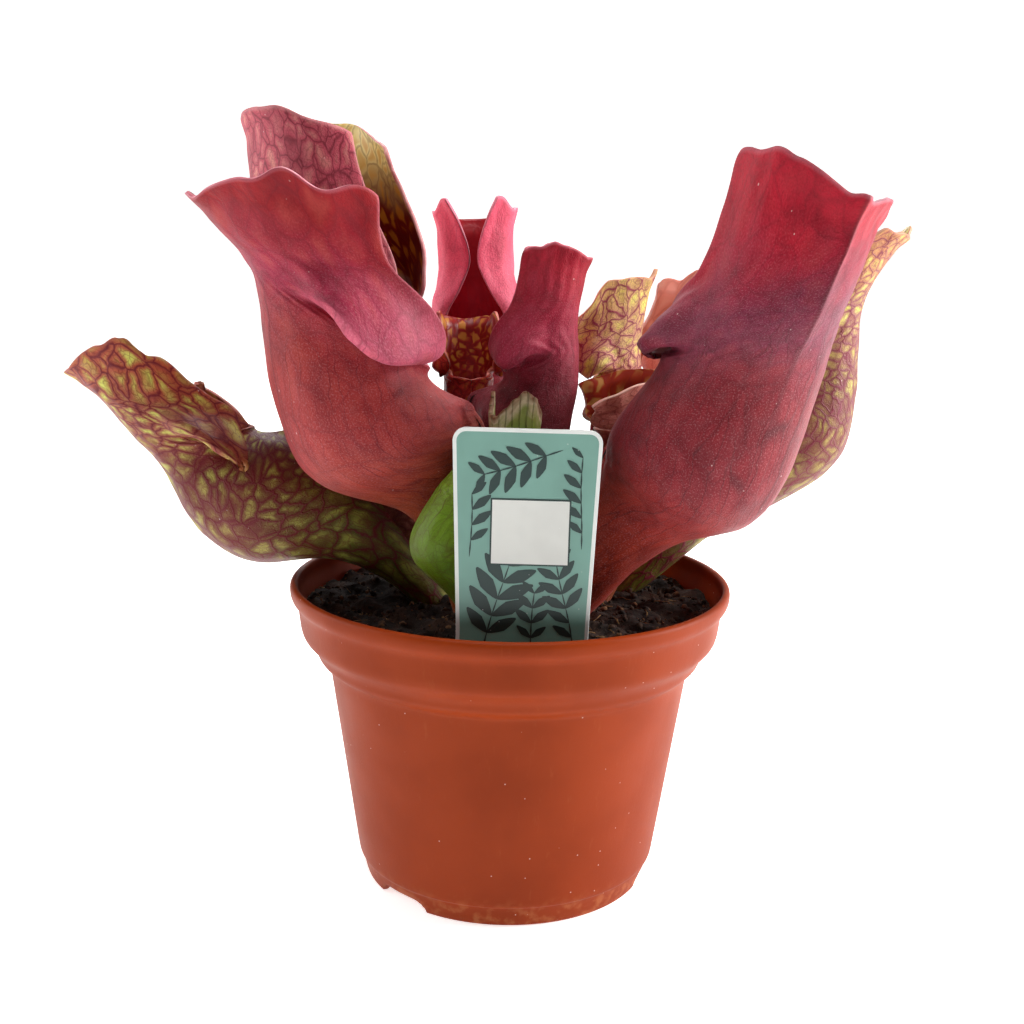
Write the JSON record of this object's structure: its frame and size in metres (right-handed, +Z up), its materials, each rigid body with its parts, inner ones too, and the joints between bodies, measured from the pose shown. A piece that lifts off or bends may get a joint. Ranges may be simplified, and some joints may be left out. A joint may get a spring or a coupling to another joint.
{
  "type": "potted pitcher plant",
  "caption": "Purple pitcher plant with a rosette of hooded, rolled leaves growing from peat in a small tapered plastic nursery pot, with a plain patterned plant label pushed into the soil.",
  "frame": {"origin": "centre of the whole plant's bounding box, on the surface the pot stands on; the pot's own axis is 3.6 mm to +X and 4.4 mm to -Y of it, because the leaves spread unevenly", "axes": "+Z up along the pot's axis, -Y towards the side where the label stands, +X to the right as seen from there"},
  "size_m": [0.2324, 0.1288, 0.208],
  "materials": {
    "terracotta_plastic": "satin terracotta-coloured polypropylene with fine scuffs",
    "peat": "crumbly dark moist peat",
    "label_plastic": "satin printed white plastic",
    "leaf_crimson": "velvety, fine white hairs",
    "leaf_wine": "velvety, fine white hairs",
    "leaf_netted": "satin, green with a net of maroon veins",
    "leaf_rose": "velvety with a net of veins",
    "leaf_pink": "velvety",
    "leaf_salmon": "satin, pale spots and veins",
    "leaf_spotted": "glossy red-brown with yellow spots",
    "leaf_green": "satin lime green"
  },
  "bodies": {
    "root": {"nursery_pot": "terracotta_plastic", "soil": "peat", "plant_label": "label_plastic", "cut_leaf": "leaf_green", "pitcher_front_left": "leaf_crimson", "pitcher_front_right": "leaf_wine", "pitcher_low_left": "leaf_netted", "pitcher_back_left": "leaf_rose", "pitcher_back": "leaf_pink", "pitcher_centre": "leaf_pink", "pitcher_netted_centre": "leaf_netted", "pitcher_folded_right": "leaf_salmon", "pitcher_rear_right": "leaf_salmon", "pitcher_netted_right": "leaf_netted", "pitcher_spotted": "leaf_spotted", "pitcher_young_green": "leaf_green"}
  },
  "joints": []
}
